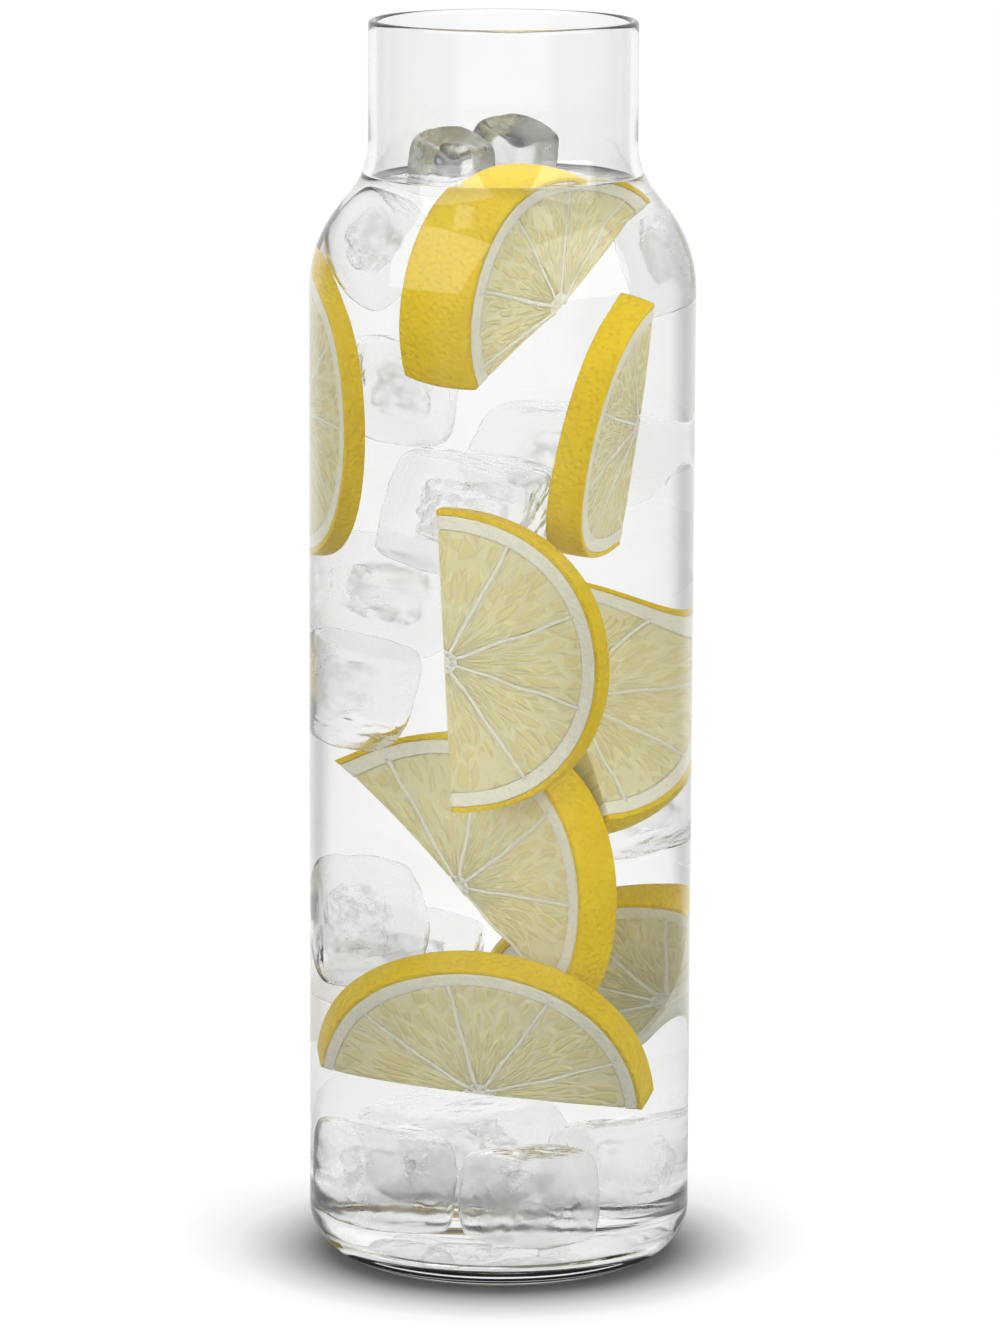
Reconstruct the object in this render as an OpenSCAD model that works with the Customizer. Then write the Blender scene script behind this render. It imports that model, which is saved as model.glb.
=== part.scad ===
// Glass water carafe, one litre, filled with iced lemon water.
// The vessel is one blown piece of clear glass with a narrow plain neck.
// Its contents are the water, eight cut lemon pieces and sixteen ice cubes.
// Millimetres, +Z up, origin at the middle of the standing ring.

/* [Glass body] */
// Outside diameter of the body
body_d = 80; // [80:0.5:110]
// Height from the table to the rim
total_h = 259.5; // [259.5:0.5:330]
// Outside diameter of the straight neck
neck_d = 55.6; // [54:0.1:57]
// Height of the straight neck above the flare
neck_h = 25; // [23:0.5:40]
// Glass thickness of the body, shoulder and flare
wall = 2; // [1.5:0.1:2.2]
// Radius of the rounded shoulder
shoulder_r = 27; // [24:0.5:28]
// Degrees that the shoulder turns before it runs straight
shoulder_turn = 38; // [34:1:40]
// Radius of the hollow curve from the shoulder into the neck
flare_r = 16.5; // [14:0.5:17]

/* [Rim and stopper seat] */
// Glass thickness at the rim and along the stopper seat
finish_wall = 1.8; // [1.5:0.1:2]
// Depth from the rim to the lower end of the stopper seat
finish_h = 19; // [15:0.5:19]

/* [Base] */
// Outside rounding between the wall and the standing ring
heel_r = 10; // [6:0.5:11]
// Glass thickness under the water
base_t = 5; // [4:0.1:5.5]
// Inside rounding between the wall and the floor
floor_r = 8; // [5:0.5:9]
// Diameter of the shallow hollow under the base
punt_d = 48; // [30:1:54]
// Height of the shallow hollow under the base
punt_h = 1.2; // [0.6:0.1:2]

/* [Water] */
// Depth from the rim down to the water
headspace = 32.7; // [32:0.1:34]
// Film left between the water and the glass
glass_film = 0.1; // [0.05:0.01:0.3]
// Film left between the water and what lies in it
piece_film = 0.12; // [0.05:0.01:0.2]

/* [Lemon] */
// Diameter of the lemon at its middle, as a share of the inner radius
lemon_share = 1.737; // [1.4:0.001:1.737]
// Thickness of the yellow skin
skin_t = 1.1; // [0.6:0.1:2]
// Thickness of the white pith under the skin
pith_t = 3; // [1.5:0.1:5]
// Thickness of the white walls between the juice segments
membrane_t = 0.8; // [0.4:0.1:1.5]
// Diameter of the white core at the middle
core_d = 5; // [2:0.5:8]
// Number of juice segments round a whole slice
segments = 9; // [7:1:11]
// Gap between the skin, the pith and the juice segments
tissue_gap = 0.05; // [0.03:0.01:0.1]

/* [Ice] */
// Edge of a whole ice cube, as a share of the inner radius
ice_share = 0.579; // [0.4:0.001:0.579]
// Size of the melted rounding as a share of the edge
ice_round_share = 0.76; // [0.72:0.01:0.8]

/* [Hidden] */
$fn = 96;

// Sizes worked out from the named ones
body_r = body_d / 2;
neck_r = neck_d / 2;
inner_r = body_r - wall;
throat_r = neck_r - wall;
seat_r = neck_r - finish_wall;
rim_r = finish_wall / 2;
rim_z = total_h - rim_r;
flare_z = total_h - neck_h;
seat_z = total_h - finish_h;
fill_z = total_h - headspace;
overrun = total_h / 100;
punt_r = punt_d / 2;
punt_ball_r = (punt_r * punt_r + punt_h * punt_h) / (2 * punt_h);

// The shoulder and the flare turn the same angle and a straight run joins them
bend_sum = shoulder_r + flare_r;
neck_drop = body_r - neck_r;
full_turn = acos(1 - min(neck_drop, bend_sum) / bend_sum);
turn = min(shoulder_turn, full_turn);
run_drop = max(0, neck_drop - bend_sum * (1 - cos(turn)));
shoulder_z = flare_z - bend_sum * sin(turn) - run_drop / tan(turn);

// The contents hang together from the water line. Their unit of size is the
// inner radius, or less where the depth or the neck leaves less room
depth_share = 0.1715;
throat_share = 1.474;
unit = min(inner_r, (fill_z - base_t) * depth_share, throat_r * throat_share);
lemon_d = unit * lemon_share;
ice_edge = unit * ice_share;

// Each lemon piece: name, place of the middle of its cut edge (across, away and
// down from the water line, in units), diameter and thickness as shares of the
// lemon's diameter
lemon_shares = [
    ["top_wedge", [0.092, -0.184, 0.627], 0.834, 0.242],
    ["left_slice", [-0.821, 0.29, 1.295], 0.927, 0.077],
    ["right_slice", [0.463, 0.142, 1.319], 0.854, 0.098],
    ["centre_slice", [-0.243, -0.382, 2.554], 0.962, 0.066],
    ["back_slice", [0.205, 0.018, 2.847], 0.894, 0.123],
    ["lower_slice", [-0.092, 0.062, 3.868], 0.989, 0.133],
    ["low_right_slice", [0.626, 0.44, 4.578], 0.816, 0.107],
    ["bottom_slice", [-0.08, -0.305, 4.924], 0.97, 0.111]
];
// How each half slice is turned about X, Y and Z, and where its first juice
// segment lies, in degrees
lemon_turns = [
    ["top_wedge", [-101, -55, -119], -77],
    ["left_slice", [-89, 3, -84], -82],
    ["right_slice", [-103, 17, -102], -70],
    ["centre_slice", [92, -2, -23], -59],
    ["back_slice", [57, 5, 42], -79],
    ["lower_slice", [91, -44, -48], -85],
    ["low_right_slice", [-120, -29, 180], -73],
    ["bottom_slice", [167, -64, -87], -66]
];

// Each ice cube: name, place of its middle (in units, as above) and edge as a
// share of a whole cube's
ice_shares = [
    ["ice_top_right", [0.05, 0.334, -0.072], 0.68],
    ["ice_top_left", [-0.285, 0.047, -0.042], 0.64],
    ["ice_shoulder_left", [-0.578, -0.059, 0.4], 0.73],
    ["ice_shoulder_right", [0.658, 0.211, 0.495], 0.68],
    ["ice_upper_left", [-0.435, -0.167, 1.11], 0.82],
    ["ice_upper_middle", [-0.157, -0.026, 1.791], 1.09],
    ["ice_upper_back", [0.211, 0.579, 1.546], 0.91],
    ["ice_back_left", [-0.399, 0.421, 2.31], 0.9],
    ["ice_middle_left", [-0.624, 0.099, 2.805], 0.91],
    ["ice_lower_left", [-0.627, -0.101, 4.076], 1],
    ["ice_lower_back", [-0.35, 0.459, 4.381], 0.91],
    ["ice_lower_right", [0.55, 0.288, 3.521], 0.68],
    ["ice_floor_left", [-0.521, -0.106, 5.509], 1],
    ["ice_floor_front", [0.156, -0.497, 5.527], 0.95],
    ["ice_floor_right", [0.523, 0.209, 5.509], 0.95],
    ["ice_floor_back", [-0.105, 0.526, 5.443], 1]
];
// How each cube is turned about X, Y and Z, in degrees
ice_turns = [
    ["ice_top_right", [8, 22, -42]],
    ["ice_top_left", [20, -7, 43]],
    ["ice_shoulder_left", [44, -44, -19]],
    ["ice_shoulder_right", [19, -20, 3]],
    ["ice_upper_left", [-5, 25, -89]],
    ["ice_upper_middle", [76, 2, -110]],
    ["ice_upper_back", [-3, 16, -38]],
    ["ice_back_left", [-56, 14, 4]],
    ["ice_middle_left", [-33, 14, 3]],
    ["ice_lower_left", [1, 41, -81]],
    ["ice_lower_back", [-45, 13, -9]],
    ["ice_lower_right", [-34, -4, 47]],
    ["ice_floor_left", [2, 2, 20]],
    ["ice_floor_front", [-1, 1, 35]],
    ["ice_floor_right", [-5, 1, 35]],
    ["ice_floor_back", [16, -1, -39]]
];

// The row of a table that starts with a name
function row(table, name) = [for (r = table) if (r[0] == name) r][0];

// Half outline of the bottle, drawn in from the outside by a wall thickness
module bottle_outline(inset, floor_z, corner_r) {
    side_r = body_r - inset;
    bend_in = shoulder_r - inset;
    bend_out = flare_r + inset;
    bend_mid = [body_r - shoulder_r, shoulder_z];
    hollow_mid = [neck_r + flare_r, flare_z];
    lean = [cos(turn), sin(turn)];
    intersection() {
        translate([0, floor_z])
            square([body_r, total_h]);
        union() {
            translate([0, floor_z])
                square([side_r - corner_r, corner_r]);
            translate([side_r - corner_r, floor_z + corner_r])
                circle(r = corner_r);
            translate([0, floor_z + corner_r])
                square([side_r, shoulder_z - floor_z - corner_r]);
            translate(bend_mid)
                circle(r = bend_in);
            difference() {
                polygon([
                    [0, shoulder_z],
                    bend_mid,
                    bend_mid + bend_in * lean,
                    hollow_mid - bend_out * lean,
                    hollow_mid,
                    [0, flare_z]
                ]);
                translate(hollow_mid)
                    circle(r = bend_out);
            }
        }
    }
}

// Half outline of the hollow, up past the rim
module hollow_outline(film) {
    bottle_outline(wall + film, base_t + film, floor_r - film);
    polygon([
        [0, flare_z],
        [throat_r - film, flare_z],
        [seat_r - film, seat_z],
        [seat_r - film, total_h + overrun],
        [0, total_h + overrun]
    ]);
}

// Half outline of the outside of the glass
module outside_outline() {
    bottle_outline(0, 0, heel_r);
    translate([0, flare_z])
        square([neck_r, rim_z - flare_z]);
    translate([neck_r - rim_r, rim_z])
        circle(r = rim_r);
}

function slice_r(name) = lemon_d * row(lemon_shares, name)[2] / 2;
function slice_t(name) = lemon_d * row(lemon_shares, name)[3];
function flesh_r(name) = slice_r(name) - skin_t - pith_t;

// Seats what follows at a place in units, down from the water line
module seat(place, turns) {
    translate([place[0] * unit, place[1] * unit, fill_z - place[2] * unit])
        rotate(turns)
            children();
}

// Half a lemon slice, cut edge on the Y axis, grown by a film all round
module half_slice(name, ball_r, film) {
    cut = slice_t(name) + 2 * film;
    reach = ball_r + film;
    intersection() {
        sphere(r = reach);
        translate([-film, -reach - overrun, -cut / 2])
            cube([reach + overrun, 2 * (reach + overrun), cut]);
    }
}

// The thin yellow skin along the arc of a slice
module lemon_skin(name) {
    difference() {
        half_slice(name, slice_r(name), 0);
        sphere(r = slice_r(name) - skin_t);
    }
}

// The juice segments of a slice as one set, grown by a film
module segment_set(name, film) {
    step = 360 / segments;
    cut = slice_t(name) + 2 * film;
    side = membrane_t / 2 - film;
    start = core_d / 2 + side / sin(step / 2);
    span = 2 * slice_r(name);
    intersection() {
        half_slice(name, flesh_r(name), film);
        for (k = [0 : segments - 1]) {
            mid = row(lemon_turns, name)[2] + k * step;
            tip = start * [cos(mid), sin(mid)];
            translate([0, 0, -cut / 2])
                linear_extrude(height = cut)
                    polygon([
                        tip,
                        tip + span * [cos(mid - step / 2), sin(mid - step / 2)],
                        tip + span * [cos(mid), sin(mid)],
                        tip + span * [cos(mid + step / 2), sin(mid + step / 2)]
                    ]);
        }
    }
}

// The white pith, core and membranes of a slice
module lemon_pith(name) {
    difference() {
        half_slice(name, slice_r(name) - skin_t - tissue_gap, 0);
        segment_set(name, tissue_gap);
    }
}

// A part-melted ice cube, grown by a film all round
module ice_cube(name, film) {
    edge = ice_edge * row(ice_shares, name)[2];
    intersection() {
        cube(edge + 2 * film, center = true);
        sphere(r = edge * ice_round_share + film);
    }
}

// Seats what follows where the named lemon piece or ice cube lies
module lemon_seat(name) {
    seat(row(lemon_shares, name)[1], row(lemon_turns, name)[1]) children();
}

module ice_seat(name) {
    seat(row(ice_shares, name)[1], row(ice_turns, name)[1]) children();
}

module glass_carafe() {
    color([0.86, 0.9, 0.88, 0.35])
        difference() {
            rotate_extrude()
                difference() {
                    outside_outline();
                    hollow_outline(0);
                }
            translate([0, 0, punt_h - punt_ball_r])
                sphere(r = punt_ball_r);
        }
}

module water() {
    color([0.86, 0.92, 0.94, 0.4])
        difference() {
            rotate_extrude()
                intersection() {
                    hollow_outline(glass_film);
                    square([body_r, fill_z]);
                }
            for (r = lemon_shares)
                lemon_seat(r[0])
                    half_slice(r[0], slice_r(r[0]), piece_film);
            for (r = ice_shares)
                ice_seat(r[0])
                    ice_cube(r[0], piece_film);
        }
}

module peel(name) {
    color([0.93, 0.78, 0.12])
        lemon_seat(name) lemon_skin(name);
}

module pith(name) {
    color([0.95, 0.92, 0.8])
        lemon_seat(name) lemon_pith(name);
}

module pulp(name) {
    color([0.88, 0.83, 0.5])
        lemon_seat(name) segment_set(name, 0);
}

module ice(name) {
    color([0.9, 0.94, 0.96, 0.5])
        ice_seat(name) ice_cube(name, 0);
}

module top_wedge_peel() { peel("top_wedge"); }
module top_wedge_pith() { pith("top_wedge"); }
module top_wedge_pulp() { pulp("top_wedge"); }
module left_slice_peel() { peel("left_slice"); }
module left_slice_pith() { pith("left_slice"); }
module left_slice_pulp() { pulp("left_slice"); }
module right_slice_peel() { peel("right_slice"); }
module right_slice_pith() { pith("right_slice"); }
module right_slice_pulp() { pulp("right_slice"); }
module centre_slice_peel() { peel("centre_slice"); }
module centre_slice_pith() { pith("centre_slice"); }
module centre_slice_pulp() { pulp("centre_slice"); }
module back_slice_peel() { peel("back_slice"); }
module back_slice_pith() { pith("back_slice"); }
module back_slice_pulp() { pulp("back_slice"); }
module lower_slice_peel() { peel("lower_slice"); }
module lower_slice_pith() { pith("lower_slice"); }
module lower_slice_pulp() { pulp("lower_slice"); }
module low_right_slice_peel() { peel("low_right_slice"); }
module low_right_slice_pith() { pith("low_right_slice"); }
module low_right_slice_pulp() { pulp("low_right_slice"); }
module bottom_slice_peel() { peel("bottom_slice"); }
module bottom_slice_pith() { pith("bottom_slice"); }
module bottom_slice_pulp() { pulp("bottom_slice"); }
module ice_top_right() { ice("ice_top_right"); }
module ice_top_left() { ice("ice_top_left"); }
module ice_shoulder_left() { ice("ice_shoulder_left"); }
module ice_shoulder_right() { ice("ice_shoulder_right"); }
module ice_upper_left() { ice("ice_upper_left"); }
module ice_upper_middle() { ice("ice_upper_middle"); }
module ice_upper_back() { ice("ice_upper_back"); }
module ice_back_left() { ice("ice_back_left"); }
module ice_middle_left() { ice("ice_middle_left"); }
module ice_lower_left() { ice("ice_lower_left"); }
module ice_lower_back() { ice("ice_lower_back"); }
module ice_lower_right() { ice("ice_lower_right"); }
module ice_floor_left() { ice("ice_floor_left"); }
module ice_floor_front() { ice("ice_floor_front"); }
module ice_floor_right() { ice("ice_floor_right"); }
module ice_floor_back() { ice("ice_floor_back"); }

glass_carafe();
water();
top_wedge_peel();
top_wedge_pith();
top_wedge_pulp();
left_slice_peel();
left_slice_pith();
left_slice_pulp();
right_slice_peel();
right_slice_pith();
right_slice_pulp();
centre_slice_peel();
centre_slice_pith();
centre_slice_pulp();
back_slice_peel();
back_slice_pith();
back_slice_pulp();
lower_slice_peel();
lower_slice_pith();
lower_slice_pulp();
low_right_slice_peel();
low_right_slice_pith();
low_right_slice_pulp();
bottom_slice_peel();
bottom_slice_pith();
bottom_slice_pulp();
ice_top_right();
ice_top_left();
ice_shoulder_left();
ice_shoulder_right();
ice_upper_left();
ice_upper_middle();
ice_upper_back();
ice_back_left();
ice_middle_left();
ice_lower_left();
ice_lower_back();
ice_lower_right();
ice_floor_left();
ice_floor_front();
ice_floor_right();
ice_floor_back();
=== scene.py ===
"""Water carafe with ice and lemon slices: the finished looks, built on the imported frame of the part."""
import logging
import math
from dataclasses import dataclass, field
from enum import Enum

import bpy
import numpy as np
from mathutils import Matrix


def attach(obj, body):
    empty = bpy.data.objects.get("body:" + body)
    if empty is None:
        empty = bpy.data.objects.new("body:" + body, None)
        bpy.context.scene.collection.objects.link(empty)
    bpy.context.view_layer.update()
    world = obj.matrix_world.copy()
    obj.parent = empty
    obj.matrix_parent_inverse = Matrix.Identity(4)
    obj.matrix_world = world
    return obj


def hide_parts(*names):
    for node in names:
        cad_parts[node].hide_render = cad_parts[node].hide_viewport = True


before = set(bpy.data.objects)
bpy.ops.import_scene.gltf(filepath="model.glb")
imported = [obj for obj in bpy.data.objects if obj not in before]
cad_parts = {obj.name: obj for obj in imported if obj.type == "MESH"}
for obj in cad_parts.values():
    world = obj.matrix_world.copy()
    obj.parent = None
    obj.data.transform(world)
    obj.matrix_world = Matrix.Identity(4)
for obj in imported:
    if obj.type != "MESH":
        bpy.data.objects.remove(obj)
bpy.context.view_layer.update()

LOG = logging.getLogger("carafe")
MM = 0.001
FULL_TURN = 2 * math.pi
RIPPLE_LENGTHS = (0.7, 1.5)
RIPPLE_GAIN = 1.7
GLASS_IOR = 1.5
WATER_IOR = 1.333
Socket = bpy.types.NodeSocket
Outputs = bpy.types.NodeOutputs
Material = bpy.types.Material
Value = float | tuple[float, ...] | Socket
Inputs = dict[str | int, Value]
Triple = tuple[float, float, float]
Colour = tuple[float, float, float, float]


class Body(Enum):
    """The bodies of the frame that a piece can ride on."""

    VESSEL = "vessel"
    RIGHT_CUBE = "right_cube"
    LEFT_CUBE = "left_cube"


class Slot(Enum):
    """The record's material slots."""

    GLASS = "clear_glass"
    WATER = "water"
    PEEL = "lemon_peel"
    PITH = "lemon_pith"
    PULP = "lemon_pulp"
    ICE = "clear_ice"


# Surfaces


@dataclass
class Surface:
    """One closed surface: its points, quads, triangles, pattern places and finish numbers."""

    points: np.ndarray
    quads: np.ndarray
    triangles: np.ndarray
    places: np.ndarray
    quad_slots: np.ndarray = field(init=False)
    triangle_slots: np.ndarray = field(init=False)

    def __post_init__(self) -> None:
        """Turns the faces outwards: the sum of the signed cone volumes has to be above nought."""
        corners = np.concatenate([self.quads[:, [0, 1, 2]], self.quads[:, [0, 2, 3]], self.triangles])
        a, b, c = (self.points[corners[:, k]] for k in range(3))
        if float(np.einsum("ij,ij->i", a, np.cross(b, c)).sum()) < 0:
            self.quads = self.quads[:, ::-1]
            self.triangles = self.triangles[:, ::-1]
        self.quad_slots = np.zeros(len(self.quads), np.int32)
        self.triangle_slots = np.zeros(len(self.triangles), np.int32)

    def heights(self) -> tuple[np.ndarray, np.ndarray]:
        """The mean height of each quad's corners and of each triangle's."""
        return self.points[self.quads].mean(1)[:, 2], self.points[self.triangles].mean(1)[:, 2]

    def moved(self, turn: np.ndarray, place: np.ndarray) -> "Surface":
        """Turns the points, then moves them: each point is turn times the point, plus place.

        Args:
            turn: a 3 by 3 rotation.
            place: where the local origin goes, in metres.

        Returns:
            The same surface, in its new place.
        """
        self.points = self.points @ turn.T + place
        return self


def loft(rows: np.ndarray, places: np.ndarray | None = None) -> Surface:
    """Joins closed loops into a closed surface, with a fan from a middle point over each end loop.

    Args:
        rows: points in an array of loops by points by 3.
        places: the pattern place of each point, loops by points by 2, or None for noughts.

    Returns:
        The closed surface.
    """
    count, around = rows.shape[:2]
    i, j = np.meshgrid(np.arange(count - 1), np.arange(around), indexing="ij")
    here, above = i * around, (i + 1) * around
    k = (j + 1) % around
    quads = np.stack([here + j, here + k, above + k, above + j], -1).reshape(-1, 4)
    ring = np.arange(around)
    after = (ring + 1) % around
    first, last, base = count * around, count * around + 1, (count - 1) * around
    triangles = np.concatenate([
        np.stack([np.full(around, first), after, ring], -1),
        np.stack([np.full(around, last), base + ring, base + after], -1),
    ])
    points = np.concatenate([rows.reshape(-1, 3), rows[:1].mean(1), rows[-1:].mean(1)])
    if places is None:
        flat = np.zeros((len(points), 2))
    else:
        flat = np.concatenate([places.reshape(-1, 2), places[:1].mean(1), places[-1:].mean(1)])
    return Surface(points, quads, triangles, flat)


def swept(radius: np.ndarray | float, turn: np.ndarray, height: np.ndarray) -> np.ndarray:
    """Points about the Z axis: x is r cos a, y is r sin a, and z is the height."""
    return np.stack(np.broadcast_arrays(radius * np.cos(turn), radius * np.sin(turn), height), -1)


def spin(profile: np.ndarray, around: int) -> np.ndarray:
    """Turns a profile of radius and height about the Z axis, in even steps, into loops for loft()."""
    return swept(profile[:, :1], np.linspace(0.0, FULL_TURN, around, endpoint=False), profile[:, 1:])


def arc(middle: tuple[float, float], radius: float, start: float, end: float, count: int) -> np.ndarray:
    """Points of a circle's arc, from start to end in degrees: middle plus radius times (cos, sin)."""
    turn = np.radians(np.linspace(start, end, count))
    return np.stack([middle[0] + radius * np.cos(turn), middle[1] + radius * np.sin(turn)], -1)


def line(start: tuple[float, float], end: tuple[float, float], count: int) -> np.ndarray:
    """Evenly spaced points between two ends, with neither end."""
    share = np.linspace(0.0, 1.0, count + 2)[1:-1, None]
    return np.array(start) * (1 - share) + np.array(end) * share


def ripple(points: np.ndarray, size: float, seed: int, waves: int = 8) -> np.ndarray:
    """Smooth unevenness between about -1 and 1: the mean of sine waves in seeded directions.

    Args:
        points: where it is read, in metres.
        size: the usual wavelength, in metres.
        seed: picks the directions, lengths and phases.
        waves: how many waves are added.

    Returns:
        One value for each point.
    """
    rng = np.random.default_rng(seed)
    ways = rng.normal(size=(waves, points.shape[-1]))
    ways *= (FULL_TURN / size * rng.uniform(*RIPPLE_LENGTHS, waves) / np.linalg.norm(ways, axis=1))[:, None]
    return RIPPLE_GAIN * np.sin(points @ ways.T + rng.uniform(0, FULL_TURN, waves)).mean(-1)


def seed_of(name: str) -> int:
    """A seed for a piece's unevenness: the sum of its name's letter numbers."""
    return sum(map(ord, name))


def soft_loop(outline: np.ndarray, count: int, soften: float) -> np.ndarray:
    """An outline with even steps and soft corners: resampled by length, then blurred by a bell curve.

    Args:
        outline: corner points of the closed outline.
        count: how many points it gets.
        soften: the bell curve's width, in metres.

    Returns:
        The points of the softened outline.
    """
    closed = np.concatenate([outline, outline[:1]])
    run = np.concatenate([[0.0], np.cumsum(np.linalg.norm(np.diff(closed, axis=0), axis=1))])
    steps = np.linspace(0.0, run[-1], count, endpoint=False)
    even = np.stack([np.interp(steps, run, closed[:, k]) for k in range(2)], -1)
    waves = np.fft.fftfreq(count, d=run[-1] / count)
    bell = np.exp(-2 * (math.pi * waves * soften) ** 2)[:, None]
    return np.fft.ifft(np.fft.fft(even, axis=0) * bell, axis=0).real


def turned(degrees: Triple) -> np.ndarray:
    """The rotation about X, then Y, then Z: the product of three plane rotations.

    Args:
        degrees: the three angles.

    Returns:
        The 3 by 3 rotation.
    """
    a, b, c = (math.radians(d) for d in degrees)
    about_x = np.array([[1, 0, 0], [0, math.cos(a), -math.sin(a)], [0, math.sin(a), math.cos(a)]])
    about_y = np.array([[math.cos(b), 0, math.sin(b)], [0, 1, 0], [-math.sin(b), 0, math.cos(b)]])
    about_z = np.array([[math.cos(c), -math.sin(c), 0], [math.sin(c), math.cos(c), 0], [0, 0, 1]])
    return about_z @ about_y @ about_x


def linked(name: str, data: bpy.types.ID) -> bpy.types.Object:
    """Makes an object of a mesh, a camera or a lamp, and links it into the scene.

    Args:
        name: the object's name.
        data: what it shows.

    Returns:
        The object.
    """
    thing = bpy.data.objects.new(name, data)
    bpy.context.scene.collection.objects.link(thing)
    return thing


def make_piece(name: str, surfaces: list[Surface], finishes: list[Material], node: str,
               body: Body = Body.VESSEL) -> bpy.types.Object:
    """Puts closed surfaces into one smooth mesh, which takes a CAD node's place and rides on its body.

    Args:
        name: the piece's name.
        surfaces: what it is made of.
        finishes: its materials, in the order of the finish numbers.
        node: the CAD node that it stands for.
        body: the body that it moves with.

    Returns:
        The finished object, at the origin.
    """
    start = np.cumsum([0] + [len(s.points) for s in surfaces])
    points = np.concatenate([s.points for s in surfaces])
    places = np.concatenate([s.places for s in surfaces])
    quads = np.concatenate([s.quads + n for s, n in zip(surfaces, start)])
    triangles = np.concatenate([s.triangles + n for s, n in zip(surfaces, start)])
    numbers = np.concatenate([s.quad_slots for s in surfaces] + [s.triangle_slots for s in surfaces])
    mesh = bpy.data.meshes.new(name)
    mesh.from_pydata(points, [], quads.tolist() + triangles.tolist())
    mesh.polygons.foreach_set("material_index", numbers.astype(np.int32))
    mesh.polygons.foreach_set("use_smooth", np.ones(len(numbers), bool))
    corner = np.empty(len(mesh.loops), np.int32)
    mesh.loops.foreach_get("vertex_index", corner)
    mesh.uv_layers.new(name="place").data.foreach_set("uv", places[corner].ravel().astype(np.float32))
    for finish in finishes:
        mesh.materials.append(finish)
    mesh.update()
    piece = linked(name, mesh)
    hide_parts(node)
    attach(piece, body.value)
    LOG.info("%s stands for %s on %s: %d points, %d faces", name, node, body.value, len(points), len(numbers))
    return piece


# Shader graphs and shared effects


class Graph:
    """A node tree with short calls to add nodes and join them."""

    def __init__(self, tree: bpy.types.NodeTree) -> None:
        """Starts with an empty tree."""
        self.tree = tree
        tree.nodes.clear()

    def add(self, kind: str, inputs: Inputs | None = None, **settings: object) -> bpy.types.Node:
        """Adds a node: its settings come first, because some of them make its inputs.

        Args:
            kind: Blender's name of the node.
            inputs: values or sockets for its inputs.
            settings: attributes of the node itself.

        Returns:
            The new node.
        """
        node = self.tree.nodes.new(kind)
        for key, value in settings.items():
            setattr(node, key, value)
        for key, value in (inputs or {}).items():
            if isinstance(value, Socket):
                self.tree.links.new(value, node.inputs[key])
            else:
                node.inputs[key].default_value = value
        return node

    def math(self, work: str, first: Value, second: Value = 0.0, clamp: bool = False) -> Socket:
        """A Math node's output."""
        return self.add("ShaderNodeMath", {0: first, 1: second}, operation=work, use_clamp=clamp).outputs[0]

    def blend(self, share: Value, first: Value, second: Value) -> Socket:
        """A colour between first and second."""
        return self.add("ShaderNodeMix", {0: share, 6: first, 7: second}, data_type="RGBA").outputs[2]

    def ramp(self, value: Socket, low: float, high: float, to_low: float = 0.0,
             to_high: float = 1.0) -> Socket:
        """A value moved smoothly from one range into another."""
        ends = {"Value": value, "From Min": low, "From Max": high, "To Min": to_low, "To Max": to_high}
        return self.add("ShaderNodeMapRange", ends, interpolation_type="SMOOTHSTEP").outputs["Result"]

    def cloud(self, where: Socket, scale: Value, detail: float = 2.0) -> bpy.types.Node:
        """A noise texture."""
        return self.add("ShaderNodeTexNoise", {"Vector": where, "Scale": scale, "Detail": detail})

    def relief(self, height: Socket, depth: Value, strength: float = 1.0) -> Socket:
        """The normal of a surface that follows a height."""
        inputs = {"Height": height, "Distance": depth, "Strength": strength}
        return self.add("ShaderNodeBump", inputs).outputs[0]

    def split(self, vector: Socket) -> Outputs:
        """The X, Y and Z parts of a vector."""
        return self.add("ShaderNodeSeparateXYZ", {0: vector}).outputs

    def own_place(self) -> Socket:
        """The piece's own coordinates, in metres."""
        return self.add("ShaderNodeTexCoord").outputs["Object"]

    def map_place(self) -> Socket:
        """The piece's place map."""
        return self.add("ShaderNodeUVMap", uv_map="place").outputs[0]


class Effect:
    """A shader node group with named sockets, built once and placed in each material that uses it."""

    def __init__(self, name: str, inputs: dict[str, tuple[str, Value]], outputs: dict[str, str]) -> None:
        """Makes the group and its sockets.

        Args:
            name: the group's name.
            inputs: the kind and first value of each input.
            outputs: the kind of each output.
        """
        self.group = bpy.data.node_groups.new(name, "ShaderNodeTree")
        self.graph = Graph(self.group)
        for key, (kind, value) in inputs.items():
            socket = self.group.interface.new_socket(key, in_out="INPUT", socket_type=kind)
            if kind != "NodeSocketVector":
                socket.default_value = value
        for key, kind in outputs.items():
            self.group.interface.new_socket(key, in_out="OUTPUT", socket_type=kind)
        self.given = self.graph.add("NodeGroupInput").outputs
        self.ends = self.graph.add("NodeGroupOutput").inputs

    def give(self, **results: Socket) -> None:
        """Joins results to the group's outputs of the same names."""
        for key, socket in results.items():
            self.group.links.new(socket, self.ends[key])

    def place(self, graph: Graph, inputs: Inputs) -> Outputs:
        """Places the group in a material's graph, and gives its outputs."""
        return graph.add("ShaderNodeGroup", inputs, node_tree=self.group).outputs


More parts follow.
